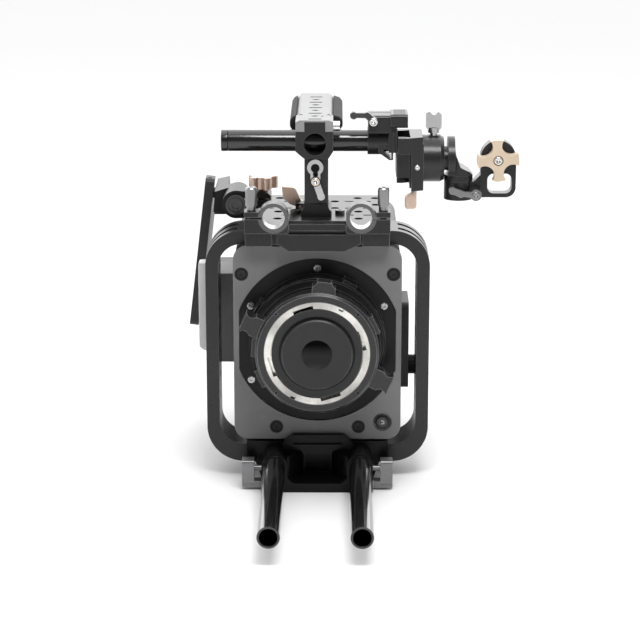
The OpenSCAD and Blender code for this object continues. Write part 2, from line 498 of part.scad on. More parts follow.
// ---- side screen ----
module side_clamp() color([0.14, 0.14, 0.145]) difference() {
  union() {
    cy(-45, -26, -58.1, 192.2, 10);
    xz(-45, -26) polygon([[-58, 182.3], [-48.1, 182.3], [-48.1, 180.65], [-42.6, 180.65], [-42.6, 189.5], [-33.4, 191], [-33.4, 198.6], [-35.6, 200.4], [-58, 202.2]]);
  }
  cy(-46, -25, -58.1, 192.2, rod_r + rod_gap);
  cz(180, 204, -39.5, -35, 3.05);
  bx(-56, -32, -46, -25, 195.4, 196.6);
}
module side_rod() color([0.06, 0.06, 0.06]) difference() {
  cy(-47, -8.5, -58.1, 192.2, rod_r);
  cy(-48, -46, -58.1, 192.2, 5.6); cy(-46.01, -45, -58.1, 192.2, 3);
}
module side_knob() color([0.62, 0.45, 0.36]) {
  xy(202.6, 211) { translate([-39.5, -35]) circle(7.6); for (a = [8, 80, 152, 224, 296]) translate([-39.5 + 8*cos(a), -35 + 8*sin(a)]) circle(2.9); }
  cz(189.6, 202.61, -39.5, -35, 3);
}
// the screen leans out at its foot: its own frame has X along its thickness
module lean() translate([-81.4, 0, 187]) rotate([0, 6.9, 0]) children();
module screen_hinge() color([0.16, 0.16, 0.165]) difference() {
  union() {
    cy(-25.6, -10, -58.1, 192.2, 9.4);
    xz(-25.6, -10) polygon([[-58.1, 183.2], [-66, 181], [-74.8, 181], [-74.3, 197.5], [-66, 200], [-58.1, 201.4]]);
    xz(-10.01, 31) polygon([[-66, 181], [-76.4, 179], [-75, 196], [-66, 198]]);
    xz(-20, 31) polygon([[-66.01, 181], [-74.8, 181], [-74.3, 196], [-66.01, 198]]);
  }
  cy(-27, -9, -58.1, 192.2, rod_r + rod_gap);
  lean() cx(0, 16, 25, 0, 4.05);
}
module side_screen() color([0.1, 0.1, 0.1]) lean() union() {
  difference() {
    union() { yz(-3.3, 3.3) rr(14, 108, -101, -16, 5); yz(-3.3, 3.3) rr(14, 31, -30, 12, 3.5); }
    yz(-4, -2.1) rr(19, 103, -95, -21, 2);
    yz(-4, -1) translate([98, -18.6]) circle(1.2);
    xy(8, 14) translate([0, 19]) circle(1.6);
  }
  cx(3.2, 14, 25, 0, 4);
}

// ---- base ----
module base_plate() color([0.07, 0.07, 0.075]) difference() {
  union() {
    xz(-90, -79) polygon([[-50, 30.5], [50, 30.5], [50, 18], [44.7, 17], [40.4, 5.3], [39.4, 0], [-39.4, 0], [-40.4, 5.3], [-44.7, 17], [-50, 18]]);
    bx(-39.4, 39.4, -79.01, 45, 0, 30.5);
    bx(-50, 50, -79.01, -44, 11.6, 30.5);
    bx(-50, 50, -44.01, 45, 18, 30.5);
    bx(-30, 30, -80, 40, 30.49, 32.5);
    // rod sleeves, joined by a bar along the bottom, with ribs behind it
    for (s = [-1, 1]) xz(-112.6, -89.9) { translate([s*rod_x, rod_z]) circle(9); translate([s*rod_x - 9, 0]) square([18, rod_z]); }
    xz(-112.6, -89.9) { translate([-30, 0]) square([60, 6.4]); for (s = [-1, 1]) polygon([[s*21.2, 6.3], [s*21.2, 10.8], [s*16.7, 6.3]]); }
    for (s = [-1, 1]) xy(6.3, 24) polygon([[s*21.1, -106], [s*18, -104], [s*10, -92], [s*10, -89.5], [s*21.1, -89.5]]);
    xz(-93, -88.3) polygon([[-17.7, 35.9], [19, 35.9], [27.8, 27.4], [27.8, 22], [-25.3, 22], [-25.3, 29.7]]);
  }
  for (s = [-1, 1]) cy(-114, -20, s*rod_x, rod_z, rod_r + rod_gap);
  xz(-94, -91) translate([-17.2, 28.9]) square([35, 3.4]);
  // hollow between the ribs
  bx(-9, 9, -91, -84, 8, 24);
  cz(-1, 14, 0, 0, 4.76);
  for (y = [-40, 30]) cz(-1, 12, 0, y, 3.17);
  for (s = [-1, 1]) cx(s > 0 ? 37.7 : -44, s > 0 ? 44 : -37.7, -103, 15, 2.05);
}
module lens_rod(s) difference() {
  cy(-253, -253 + lens_rod_l, s*rod_x, rod_z, rod_r);
  cy(-254, -252 + lens_rod_l, s*rod_x, rod_z, 6);
  // depth mark
  difference() { cy(-113.6, -112.6, s*rod_x, rod_z, 9); cy(-114, -112, s*rod_x, rod_z, rod_r - 0.2); }
}
module lens_rod_left() color([0.04, 0.04, 0.045]) lens_rod(-1);
module lens_rod_right() color([0.04, 0.04, 0.045]) lens_rod(1);
module base_lever(s) {
  yz(s > 0 ? 44.5 : -53, s > 0 ? 53 : -44.5) rr(-108.5, -97.5, 4, 21.8, 2);
  bx(s > 0 ? 39.8 : -53, s > 0 ? 53 : -39.8, -107, -99, 1.6, 6.4);
  cx(s > 0 ? 37.9 : -44.6, s > 0 ? 44.6 : -37.9, -103, 15, 2);
}
module base_lever_left() color([0.6, 0.6, 0.61]) base_lever(-1);
module base_lever_right() color([0.6, 0.6, 0.61]) base_lever(1);

body_shell();
front_plate();
rear_panel();
mount_collar();
mount_flange();
lock_ring();
body_cap();
plate_screws();
collar_screws();
assign_button();
image_sensor();
nd_filter();
heat_sink();
main_board();
fan_frame();
fan_rotor();
side_module();
side_cover();
battery_pack();
connectors();
control_panel();
menu_dial();
rec_button();
media_door();
cage_left();
cage_right();
cage_screws();
top_plate();
top_bracket();
rod_screw_left();
rod_screw_right();
handle_foot();
handle_post();
handle_release();
handle_lever();
handle_spine();
handle_grips();
handle_screw();
cross_rod();
arm_clamp();
clamp_lever();
slide_rail();
slide_plate();
slide_release();
tilt_drum();
drum_screw();
tilt_bracket();
loop_bracket();
swivel_lever();
star_knob();
side_clamp();
side_rod();
side_knob();
screen_hinge();
side_screen();
base_plate();
lens_rod_left();
lens_rod_right();
base_lever_left();
base_lever_right();
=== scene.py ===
import bpy, bmesh, json, math
import numpy as np
from mathutils import Vector, Matrix

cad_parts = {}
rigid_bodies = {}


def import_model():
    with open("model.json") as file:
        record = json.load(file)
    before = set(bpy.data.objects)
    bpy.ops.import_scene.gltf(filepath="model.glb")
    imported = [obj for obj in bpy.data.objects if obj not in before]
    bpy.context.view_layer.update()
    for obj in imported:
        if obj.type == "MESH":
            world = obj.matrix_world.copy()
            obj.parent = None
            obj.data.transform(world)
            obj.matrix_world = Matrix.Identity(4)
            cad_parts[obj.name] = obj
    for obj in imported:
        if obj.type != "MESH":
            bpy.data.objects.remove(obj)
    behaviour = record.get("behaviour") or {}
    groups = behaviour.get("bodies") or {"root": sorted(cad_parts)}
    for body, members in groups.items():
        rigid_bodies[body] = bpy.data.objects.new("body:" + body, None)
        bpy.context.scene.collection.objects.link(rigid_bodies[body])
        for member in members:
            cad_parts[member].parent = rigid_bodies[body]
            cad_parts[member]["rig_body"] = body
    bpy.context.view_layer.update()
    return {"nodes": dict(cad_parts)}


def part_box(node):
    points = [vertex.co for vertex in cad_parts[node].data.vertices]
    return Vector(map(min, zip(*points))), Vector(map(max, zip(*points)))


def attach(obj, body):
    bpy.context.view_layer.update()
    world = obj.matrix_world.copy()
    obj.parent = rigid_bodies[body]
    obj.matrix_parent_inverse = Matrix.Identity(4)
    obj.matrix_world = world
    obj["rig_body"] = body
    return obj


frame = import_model()
nodes = frame["nodes"]
MM = 0.001

# ------------------------------------------------------------------ camera
th, ps = math.radians(15), 0.0075
fwd = Vector((-math.sin(ps) * math.cos(th), math.cos(ps) * math.cos(th), -math.sin(th)))
right = Vector((math.cos(ps), math.sin(ps), 0))
up = right.cross(fwd)
cam_data = bpy.data.cameras.new("camera")
cam_data.lens = 119.8125
cam_data.sensor_width = 36
cam_data.clip_start = 0.05
cam_data.clip_end = 60
cam = bpy.data.objects.new("camera", cam_data)
cam.matrix_world = Matrix((
    (right.x, up.x, -fwd.x, 0.012598),
    (right.y, up.y, -fwd.y, -1.5273),
    (right.z, up.z, -fwd.z, 0.5046),
    (0, 0, 0, 1)))
bpy.context.scene.collection.objects.link(cam)
bpy.context.scene.camera = cam
bpy.context.scene.view_settings.view_transform = "Standard"
bpy.context.scene.view_settings.look = "None"


# ------------------------------------------------------------------ materials
def new_mat(name):
    m = bpy.data.materials.new(name)
    m.use_nodes = True
    nt = m.node_tree
    return m, nt, nt.nodes["Principled BSDF"]


def link(nt, a, b):
    nt.links.new(a, b)


def math_node(nt, op, a, b=None, clamp=False):
    n = nt.nodes.new("ShaderNodeMath")
    n.operation = op
    n.use_clamp = clamp
    for i, v in enumerate((a, b)):
        if v is None:
            continue
        if isinstance(v, (int, float)):
            n.inputs[i].default_value = v
        else:
            nt.links.new(v, n.inputs[i])
    return n.outputs[0]


def finish_mat(name, base, rough, metallic=0.0, spec=0.5, tone=0.12, tone_scale=90, speck=0.0, speck_scale=2600,
               speck_colour=None, grain=0.02, grain_scale=3000, stretch=(1, 1, 1), rough_var=0.08, edge_wear_and_highlight=0.0,
               edge_wear_and_highlight_colour=None, edge_radius=0.0006, coat=0.0, coat_rough=0.1, aniso=0.0):
    """A procedural finish: slow tone variation, fine grain in roughness and bump, speckle, and lighter edges that are
    partly wear and partly a painted highlight.
    """
    m, nt, b = new_mat(name)
    tc = nt.nodes.new("ShaderNodeTexCoord")
    mp = nt.nodes.new("ShaderNodeMapping")
    mp.inputs["Scale"].default_value = stretch
    link(nt, tc.outputs["Object"], mp.inputs["Vector"])
    slow = nt.nodes.new("ShaderNodeTexNoise")
    slow.inputs["Scale"].default_value = tone_scale
    slow.inputs["Detail"].default_value = 4
    link(nt, tc.outputs["Object"], slow.inputs["Vector"])
    fine = nt.nodes.new("ShaderNodeTexNoise")
    fine.inputs["Scale"].default_value = grain_scale
    fine.inputs["Detail"].default_value = 3
    link(nt, mp.outputs["Vector"], fine.inputs["Vector"])
    hsv = nt.nodes.new("ShaderNodeHueSaturation")
    hsv.inputs["Color"].default_value = (*base, 1)
    v = nt.nodes.new("ShaderNodeMapRange")
    v.inputs["From Min"].default_value, v.inputs["From Max"].default_value = 0.3, 0.7
    v.inputs["To Min"].default_value, v.inputs["To Max"].default_value = 1 - tone, 1 + tone
    link(nt, slow.outputs["Fac"], v.inputs["Value"])
    link(nt, v.outputs["Result"], hsv.inputs["Value"])
    col = hsv.outputs["Color"]
    if speck > 0:
        vor = nt.nodes.new("ShaderNodeTexVoronoi")
        vor.inputs["Scale"].default_value = speck_scale
        link(nt, tc.outputs["Object"], vor.inputs["Vector"])
        r = nt.nodes.new("ShaderNodeMapRange")
        r.inputs["From Min"].default_value, r.inputs["From Max"].default_value = 0.12, 0.3
        r.inputs["To Min"].default_value, r.inputs["To Max"].default_value = speck, 0.0
        link(nt, vor.outputs["Distance"], r.inputs["Value"])
        mx = nt.nodes.new("ShaderNodeMix")
        mx.data_type = "RGBA"
        link(nt, r.outputs["Result"], mx.inputs[0])
        link(nt, col, mx.inputs[6])
        mx.inputs[7].default_value = (*(speck_colour or [min(1, c * 2.2 + 0.05) for c in base]), 1)
        col = mx.outputs[2]
    # lighter edges, varied by the slow noise: partly wear, partly a painted highlight on rims and chamfers
    if edge_wear_and_highlight > 0:
        bev = nt.nodes.new("ShaderNodeBevel")
        bev.samples = 4
        bev.inputs["Radius"].default_value = edge_radius
        geo = nt.nodes.new("ShaderNodeNewGeometry")
        dot = nt.nodes.new("ShaderNodeVectorMath")
        dot.operation = "DOT_PRODUCT"
        link(nt, bev.outputs["Normal"], dot.inputs[0])
        link(nt, geo.outputs["Normal"], dot.inputs[1])
        e = math_node(nt, "SUBTRACT", 1.0, dot.outputs["Value"], True)
        e = math_node(nt, "MULTIPLY", e, 9.0, True)
        e = math_node(nt, "MULTIPLY", e, slow.outputs["Fac"], True)
        e = math_node(nt, "MULTIPLY", e, edge_wear_and_highlight * 2, True)
        mx = nt.nodes.new("ShaderNodeMix")
        mx.data_type = "RGBA"
        link(nt, e, mx.inputs[0])
        link(nt, col, mx.inputs[6])
        mx.inputs[7].default_value = (*(edge_wear_and_highlight_colour or [min(1, c * 3 + 0.12) for c in base]), 1)
        col = mx.outputs[2]
    link(nt, col, b.inputs["Base Color"])
    rr_ = nt.nodes.new("ShaderNodeMapRange")
    rr_.inputs["From Min"].default_value, rr_.inputs["From Max"].default_value = 0.3, 0.7
    rr_.inputs["To Min"].default_value, rr_.inputs["To Max"].default_value = max(0.02, rough - rough_var), min(1, rough + rough_var)
    link(nt, fine.outputs["Fac"], rr_.inputs["Value"])
    link(nt, rr_.outputs["Result"], b.inputs["Roughness"])
    b.inputs["Metallic"].default_value = metallic
    b.inputs["Specular IOR Level"].default_value = spec
    b.inputs["Coat Weight"].default_value = coat
    b.inputs["Coat Roughness"].default_value = coat_rough
    b.inputs["Anisotropic"].default_value = aniso
    if grain > 0:
        bump = nt.nodes.new("ShaderNodeBump")
        bump.inputs["Strength"].default_value = 1.0
        bump.inputs["Distance"].default_value = grain * 0.001
        link(nt, fine.outputs["Fac"], bump.inputs["Height"])
        link(nt, bump.outputs["Normal"], b.inputs["Normal"])
    return m


M = {
    # cage, top plate, brackets: black anodised aluminium, softly blasted
    "anodised": finish_mat("anodised", (0.013, 0.013, 0.0135), 0.30, spec=0.40, tone=0.10, grain=0.012, grain_scale=4200, edge_wear_and_highlight=0.35,
                           edge_wear_and_highlight_colour=(0.2, 0.2, 0.2)),
    "anodised_soft": finish_mat("anodised_soft", (0.008, 0.008, 0.0083), 0.36, spec=0.24, tone=0.10, grain=0.014, grain_scale=4200, edge_wear_and_highlight=0.10),
    # front plate of the camera: dark grey paint with a fine fleck
    "front_paint": finish_mat("front_paint", (0.175, 0.175, 0.175), 0.40, spec=0.45, tone=0.05, speck=0.35, speck_scale=1500,
                              speck_colour=(0.24, 0.24, 0.24), grain=0.02, grain_scale=2600, edge_wear_and_highlight=0.12),
    "housing_paint": finish_mat("housing_paint", (0.09, 0.09, 0.092), 0.5, spec=0.45, tone=0.06, speck=0.3, speck_scale=1500,
                                speck_colour=(0.1, 0.1, 0.105), grain=0.02, grain_scale=2600, edge_wear_and_highlight=0.08),
    "collar": finish_mat("collar", (0.006, 0.006, 0.0062), 0.34, spec=0.22, tone=0.08, grain=0.012, grain_scale=3800, edge_wear_and_highlight=0.6,
                         edge_wear_and_highlight_colour=(0.16, 0.16, 0.16), edge_radius=0.0007),
    "ring": finish_mat("ring", (0.016, 0.016, 0.0165), 0.28, spec=0.46, tone=0.08, grain=0.010, grain_scale=4200, edge_wear_and_highlight=0.8,
                       edge_wear_and_highlight_colour=(0.30, 0.30, 0.30), edge_radius=0.0007),
    "cap": finish_mat("cap", (0.017, 0.017, 0.0175), 0.40, spec=0.42, tone=0.06, grain=0.03, grain_scale=2200, edge_wear_and_highlight=0.7,
                      edge_wear_and_highlight_colour=(0.15, 0.15, 0.15), edge_radius=0.0007),
    "steel": finish_mat("steel", (0.78, 0.77, 0.75), 0.22, metallic=1, tone=0.05, grain=0.006, grain_scale=900, stretch=(1, 12, 1), rough_var=0.1),
    "steel_rough": finish_mat("steel_rough", (0.30, 0.30, 0.30), 0.3, metallic=1, tone=0.08, grain=0.01, grain_scale=2500, edge_wear_and_highlight=0.3, edge_wear_and_highlight_colour=(0.8, 0.8, 0.8)),
    "dark_steel": finish_mat("dark_steel", (0.012, 0.012, 0.013), 0.28, metallic=0.0, spec=0.8, tone=0.1, grain=0.008, grain_scale=3000, edge_wear_and_highlight=0.3),
    "chrome": finish_mat("chrome", (0.5, 0.5, 0.5), 0.2, metallic=1, tone=0.04, grain=0.003, grain_scale=2000),
    "bright_aluminium": finish_mat("bright_aluminium", (0.31, 0.31, 0.315), 0.36, metallic=0.85, tone=0.04, grain=0.008, grain_scale=3600),
    "grey_anodised": finish_mat("grey_anodised", (0.62, 0.62, 0.63), 0.38, metallic=0.25, tone=0.06, grain=0.01, grain_scale=3600, edge_wear_and_highlight=0.15),
    "silver_anodised": finish_mat("silver_anodised", (0.22, 0.22, 0.225), 0.32, metallic=0.7, tone=0.06, grain=0.01, grain_scale=3600, edge_wear_and_highlight=0.2),
    "copper": finish_mat("copper", (0.58, 0.43, 0.35), 0.30, metallic=0.85, tone=0.1, grain=0.008, grain_scale=3200, edge_wear_and_highlight=0.35, edge_wear_and_highlight_colour=(0.9, 0.75, 0.66)),
    "sand": finish_mat("sand", (0.66, 0.53, 0.40), 0.36, metallic=0.35, tone=0.06, grain=0.01, grain_scale=3200, edge_wear_and_highlight=0.4, edge_wear_and_highlight_colour=(0.95, 0.88, 0.78)),
    "rod": finish_mat("rod", (0.008, 0.008, 0.0085), 0.16, spec=0.5, tone=0.06, grain=0.002, grain_scale=2600, rough_var=0.04, coat=0.4, coat_rough=0.06),
    "rubber": finish_mat("rubber", (0.014, 0.014, 0.014), 0.7, spec=0.3, tone=0.1, grain=0.06, grain_scale=1800),
    "plastic": finish_mat("plastic", (0.018, 0.018, 0.019), 0.45, spec=0.45, tone=0.06, grain=0.02, grain_scale=2600),
    "plastic_grey": finish_mat("plastic_grey", (0.06, 0.06, 0.063), 0.5, spec=0.45, tone=0.06, grain=0.03, grain_scale=2400),
    "base_black": finish_mat("base_black", (0.0035, 0.0035, 0.0037), 0.30, spec=0.2, tone=0.08, grain=0.012, grain_scale=4000, edge_wear_and_highlight=0.1),
    "red": finish_mat("red", (0.5, 0.02, 0.015), 0.3, spec=0.5, tone=0.05, grain=0.004),
    "green": finish_mat("green", (0.02, 0.12, 0.05), 0.4, spec=0.5, tone=0.15, grain=0.02),
    "glass": finish_mat("glass", (0.01, 0.02, 0.035), 0.06, spec=0.8, tone=0.05, grain=0.0),
    "brass": finish_mat("brass", (0.75, 0.62, 0.42), 0.3, metallic=1, tone=0.06, grain=0.006),
}



def near_mask(nt, points, r_in, r_out, axis="XZ"):
    """1 within r_in mm of any of the points, measured in the XZ plane, fading to 0 at r_out. The axis argument is not
    used.
    """
    tc = nt.nodes.new("ShaderNodeTexCoord")
    sp = nt.nodes.new("ShaderNodeSeparateXYZ")
    link(nt, tc.outputs["Object"], sp.inputs[0])
    total = None
    for px, pz in points:
        dx = math_node(nt, "SUBTRACT", sp.outputs["X"], px * MM)
        dz = math_node(nt, "SUBTRACT", sp.outputs["Z"], pz * MM)
        d = math_node(nt, "SQRT", math_node(nt, "ADD", math_node(nt, "MULTIPLY", dx, dx), math_node(nt, "MULTIPLY", dz, dz)))
        mr = nt.nodes.new("ShaderNodeMapRange")
        mr.inputs["From Min"].default_value, mr.inputs["From Max"].default_value = r_in * MM, r_out * MM
        mr.inputs["To Min"].default_value, mr.inputs["To Max"].default_value = 1, 0
        link(nt, d, mr.inputs["Value"])
        total = mr.outputs["Result"] if total is None else math_node(nt, "MAXIMUM", total, mr.outputs["Result"])
    return total


# Lays a thin ring of flat colour round points in the XZ plane; used below for painted shade and painted highlights.
def colour_ring_where(mat, mask_points, r_in, r_out, colour, rough=None, metallic=None):
    nt = mat.node_tree
    b = nt.nodes["Principled BSDF"]
    mask = near_mask(nt, mask_points, r_in, r_out)
    old = b.inputs["Base Color"].links[0].from_socket
    mx = nt.nodes.new("ShaderNodeMix")
    mx.data_type = "RGBA"
    link(nt, mask, mx.inputs[0])
    link(nt, old, mx.inputs[6])
    mx.inputs[7].default_value = (*colour, 1)
    link(nt, mx.outputs[2], b.inputs["Base Color"])
    if metallic is not None:
        link(nt, math_node(nt, "MULTIPLY", mask, metallic), b.inputs["Metallic"])


M["screw_grey"] = finish_mat("screw_grey", (0.022, 0.022, 0.023), 0.3, metallic=0.6, tone=0.1, grain=0.01, grain_scale=5000)
plate_holes = [(-53, 151.8), (53, 151.8), (-29, 40.7), (29, 40.7)]
# painted shade: a black ring at the rim of each plate screw's counterbore
colour_ring_where(M["front_paint"], plate_holes, 4.7, 4.95, (0.006, 0.006, 0.006))
M["bracket"] = finish_mat("bracket", (0.012, 0.012, 0.0125), 0.30, spec=0.38, tone=0.10, grain=0.012, grain_scale=4200, edge_wear_and_highlight=0.6,
                          edge_wear_and_highlight_colour=(0.3, 0.3, 0.3), edge_radius=0.0007)
# painted highlights on each rod ring: a grey line at the outer rim and a bright metallic line at the inner edge of the
# chamfer
colour_ring_where(M["bracket"], [(-30, 194.3), (30, 194.3)], 10.6, 10.9, (0.10, 0.10, 0.10))
colour_ring_where(M["bracket"], [(-30, 194.3), (30, 194.3)], 7.55, 7.8, (0.75, 0.75, 0.75), metallic=0.6)
colour_ring_where(M["front_paint"], [(46, 44.3)], 6.5, 6.75, (0.02, 0.02, 0.02))
M["module_paint"] = finish_mat("module_paint", (0.30, 0.30, 0.302), 0.5, spec=0.4, tone=0.06, speck=0.3, speck_scale=1500,
                               speck_colour=(0.2, 0.2, 0.2), grain=0.02, grain_scale=2600, edge_wear_and_highlight=0.08)
M["screw_steel"] = finish_mat("screw_steel", (0.40, 0.40, 0.40), 0.24, metallic=1, tone=0.3, tone_scale=500, grain=0.006, grain_scale=3000)
M["mark"] = finish_mat("mark", (0.8, 0.8, 0.78), 0.5, tone=0.04, grain=0.004)
M["flange"] = finish_mat("flange", (0.52, 0.51, 0.485), 0.2, metallic=1, tone=0.5, tone_scale=34, grain=0.006, grain_scale=900,
                         stretch=(1, 12, 1), rough_var=0.1)


def paint_shade_in_box(mat, lo, hi, colour):
    """Painted shade: darkens what lies inside a box, in mm, the floors and walls of recesses."""
    nt = mat.node_tree
    b = nt.nodes["Principled BSDF"]
    t = nt.nodes.new("ShaderNodeTexCoord")
    sp = nt.nodes.new("ShaderNodeSeparateXYZ")
    link(nt, t.outputs["Object"], sp.inputs[0])
    mask = None
    for axis, a, c in zip("XYZ", lo, hi):
        m1 = math_node(nt, "GREATER_THAN", sp.outputs[axis], a * MM)
        m2 = math_node(nt, "LESS_THAN", sp.outputs[axis], c * MM)
        m = math_node(nt, "MULTIPLY", m1, m2)
        mask = m if mask is None else math_node(nt, "MULTIPLY", mask, m)
    old = b.inputs["Base Color"].links[0].from_socket
    mx = nt.nodes.new("ShaderNodeMix")
    mx.data_type = "RGBA"
    link(nt, mask, mx.inputs[0])
    link(nt, old, mx.inputs[6])
    mx.inputs[7].default_value = (*colour, 1)
    link(nt, mx.outputs[2], b.inputs["Base Color"])


M["spine"] = finish_mat("spine", (0.27, 0.27, 0.272), 0.44, metallic=0.35, spec=0.3, tone=0.05, grain=0.008, grain_scale=3600)
M["lever"] = finish_mat("lever", (0.5, 0.5, 0.5), 0.22, metallic=1, tone=0.06, grain=0.004, grain_scale=2000)
# painted shade in the recess of the handle lever
paint_shade_in_box(M["lever"], (-4.6, -85.9, 220.3), (1.6, -84.4, 229.5), (0.015, 0.015, 0.015))
M["release"] = finish_mat("release", (0.58, 0.44, 0.36), 0.36, metallic=0.5, tone=0.08, grain=0.01, grain_scale=3200, edge_wear_and_highlight=0.4,
                          edge_wear_and_highlight_colour=(0.9, 0.82, 0.75))
# painted shade on the floors of the spine's slots
paint_shade_in_box(M["spine"], (-8.2, -82, 250), (4.6, 30, 258.95), (0.01, 0.01, 0.01))
# cap: its dish is in shade towards the top
dish = M["cap"].node_tree
dish_t = dish.nodes.new("ShaderNodeTexCoord")
dish_s = dish.nodes.new("ShaderNodeSeparateXYZ")
link(dish, dish_t.outputs["Object"], dish_s.inputs[0])
dish_z = dish.nodes.new("ShaderNodeMapRange")
dish_z.inputs["From Min"].default_value, dish_z.inputs["From Max"].default_value = 0.0975, 0.1110
dish_z.inputs["To Min"].default_value, dish_z.inputs["To Max"].default_value = 0.0, 0.96
link(dish, dish_s.outputs["Z"], dish_z.inputs["Value"])
dish_m = math_node(dish, "MULTIPLY", dish_z.outputs["Result"], near_mask(dish, [(0, 104.4)], 10.4, 10.85))
dish_b = dish.nodes["Principled BSDF"]
dish_old = dish_b.inputs["Base Color"].links[0].from_socket
dish_x = dish.nodes.new("ShaderNodeMix")
dish_x.data_type = "RGBA"
link(dish, dish_m, dish_x.inputs[0])
link(dish, dish_old, dish_x.inputs[6])
dish_x.inputs[7].default_value = (0.002, 0.002, 0.002, 1)
link(dish, dish_x.outputs[2], dish_b.inputs["Base Color"])
link(dish, math_node(dish, "SUBTRACT", 0.42, math_node(dish, "MULTIPLY", dish_m, 0.42)), dish_b.inputs["Specular IOR Level"])

node_mat = {
    "body_shell": "housing_paint", "front_plate": "front_paint", "rear_panel": "housing_paint", "mount_collar": "collar",
    "mount_flange": "flange", "lock_ring": "ring", "body_cap": "cap", "plate_screws": "screw_grey", "collar_screws": "screw_steel",
    "assign_button": "dark_steel", "image_sensor": "glass", "nd_filter": "plastic_grey", "heat_sink": "bright_aluminium",
    "main_board": "green", "fan_frame": "plastic", "fan_rotor": "plastic", "side_module": "module_paint",
    "side_cover": "grey_anodised", "battery_pack": "plastic", "connectors": "steel", "control_panel": "plastic_grey",
    "menu_dial": "rubber", "rec_button": "red", "media_door": "plastic_grey", "cage_left": "anodised", "cage_right": "anodised",
    "cage_screws": "dark_steel", "top_plate": "anodised", "top_bracket": "bracket", "rod_screw_left": "steel_rough",
    "rod_screw_right": "steel_rough", "handle_foot": "anodised_soft", "handle_post": "anodised", "handle_release": "copper",
    "handle_lever": "lever", "handle_spine": "spine", "handle_grips": "rubber", "handle_screw": "steel",
    "cross_rod": "rod", "arm_clamp": "anodised", "clamp_lever": "dark_steel", "slide_rail": "anodised",
    "slide_plate": "anodised", "slide_release": "release", "tilt_drum": "anodised", "drum_screw": "chrome",
    "tilt_bracket": "anodised", "loop_bracket": "anodised", "swivel_lever": "silver_anodised", "star_knob": "sand",
    "side_clamp": "anodised_soft", "side_rod": "rod", "side_knob": "copper", "screen_hinge": "anodised_soft", "side_screen": "plastic",
    "base_plate": "base_black", "lens_rod_left": "rod", "lens_rod_right": "rod", "base_lever_left": "silver_anodised",
    "base_lever_right": "silver_anodised",
}
bevels = {"cage_left": 0.7, "cage_right": 0.7, "top_plate": 0.6, "front_plate": 0.4, "body_shell": 0.5, "base_plate": 0.6, "handle_spine": 0.35,
          "handle_grips": 0.9, "side_screen": 0.8, "battery_pack": 1.2, "side_cover": 0.6, "side_module": 0.5, "slide_release": 0.6,
          "star_knob": 0.6, "lock_ring": 0.4, "loop_bracket": 0.7, "tilt_drum": 0.5, "handle_release": 0.5, "handle_lever": 0.4}


def soften(o, width, segments=2, angle=32):
    w = o.modifiers.new("weld", "WELD")
    w.merge_threshold = 0.000002
    b = o.modifiers.new("bevel", "BEVEL")
    b.width = width * MM
    b.segments = segments
    b.limit_method = "ANGLE"
    b.angle_limit = math.radians(angle)
    b.use_clamp_overlap = True
    b.miter_outer = "MITER_ARC"
    n = o.modifiers.new("normals", "WEIGHTED_NORMAL")
    n.weight = 60
    n.keep_sharp = False


for name, o in nodes.items():
    o.data.materials.clear()
    o.data.materials.append(M[node_mat[name]])
    soften(o, bevels.get(name, 0.25))

# ------------------------------------------------------------------ small hardware
def piece(name, mat, build, node, bevel=0.0):
    bm = bmesh.new()
    build(bm)
    bmesh.ops.recalc_face_normals(bm, faces=bm.faces)
    me = bpy.data.meshes.new(name)
    bm.to_mesh(me)
    bm.free()
    me.materials.append(M[mat])
    for p in me.polygons:
        p.use_smooth = True
    o = bpy.data.objects.new(name, me)
    bpy.context.scene.collection.objects.link(o)
    if bevel:
        soften(o, bevel)
    else:
        n = o.modifiers.new("normals", "WEIGHTED_NORMAL")
        n.weight = 60
    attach(o, nodes[node]["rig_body"])
    return o


def lathe(bm, centre, axis, profile, seg=40):
    """Turn a profile of (along, radius) in mm about an axis through centre; closed where the radius is 0."""
    a = Vector(axis).normalized()
    u = a.orthogonal().normalized()
    w = a.cross(u)
    c = Vector(centre)
    rings = []
    for t, r in profile:
        if r <= 1e-6:
            rings.append([bm.verts.new((c + a * t) * MM)])
        else:
            rings.append([bm.verts.new((c + a * t + (u * math.cos(2 * math.pi * k / seg) + w * math.sin(2 * math.pi * k / seg)) * r) * MM)
                          for k in range(seg)])
    for p, q in zip(rings, rings[1:]):
        if len(p) == 1 and len(q) == 1:
            continue
        for k in range(seg):
            k2 = (k + 1) % seg
            if len(p) == 1:
                bm.faces.new((p[0], q[k], q[k2]))
            elif len(q) == 1:
                bm.faces.new((p[k], p[k2], q[0]))
            else:
                bm.faces.new((p[k], p[k2], q[k2], q[k]))


def socket_head(centre, axis, r, h, hexr, depth):
    """A socket cap: chamfered head with a six-sided recess, closed at its base."""
    def build(bm):
        a = Vector(axis).normalized()
        u = a.orthogonal().normalized()
        w = a.cross(u)
        c = Vector(centre)
        seg = 36

        def ring(t, rad, n=seg, hexa=False):
            out = []
            for k in range(seg):
                ang = 2 * math.pi * k / seg
                rr_ = rad
                if hexa:
                    rr_ = rad * math.cos(math.pi / 6) / math.cos((ang % (math.pi / 3)) - math.pi / 6)
                out.append(bm.verts.new((c + a * t + (u * math.cos(ang) + w * math.sin(ang)) * rr_) * MM))
            return out
        rows = [ring(0, r), ring(h - r * 0.14, r), ring(h - r * 0.04, r * 0.96), ring(h, r * 0.86), ring(h, hexr * 1.12, hexa=True),
                ring(h - 0.15, hexr, hexa=True), ring(h - depth, hexr, hexa=True)]
        base = bm.verts.new(c * MM)
        floor_v = bm.verts.new((c + a * (h - depth)) * MM)
        for k in range(seg):
            k2 = (k + 1) % seg
            bm.faces.new((base, rows[0][k2], rows[0][k]))
            bm.faces.new((floor_v, rows[-1][k], rows[-1][k2]))
            for p, q in zip(rows, rows[1:]):
                bm.faces.new((p[k], p[k2], q[k2], q[k]))
    return build


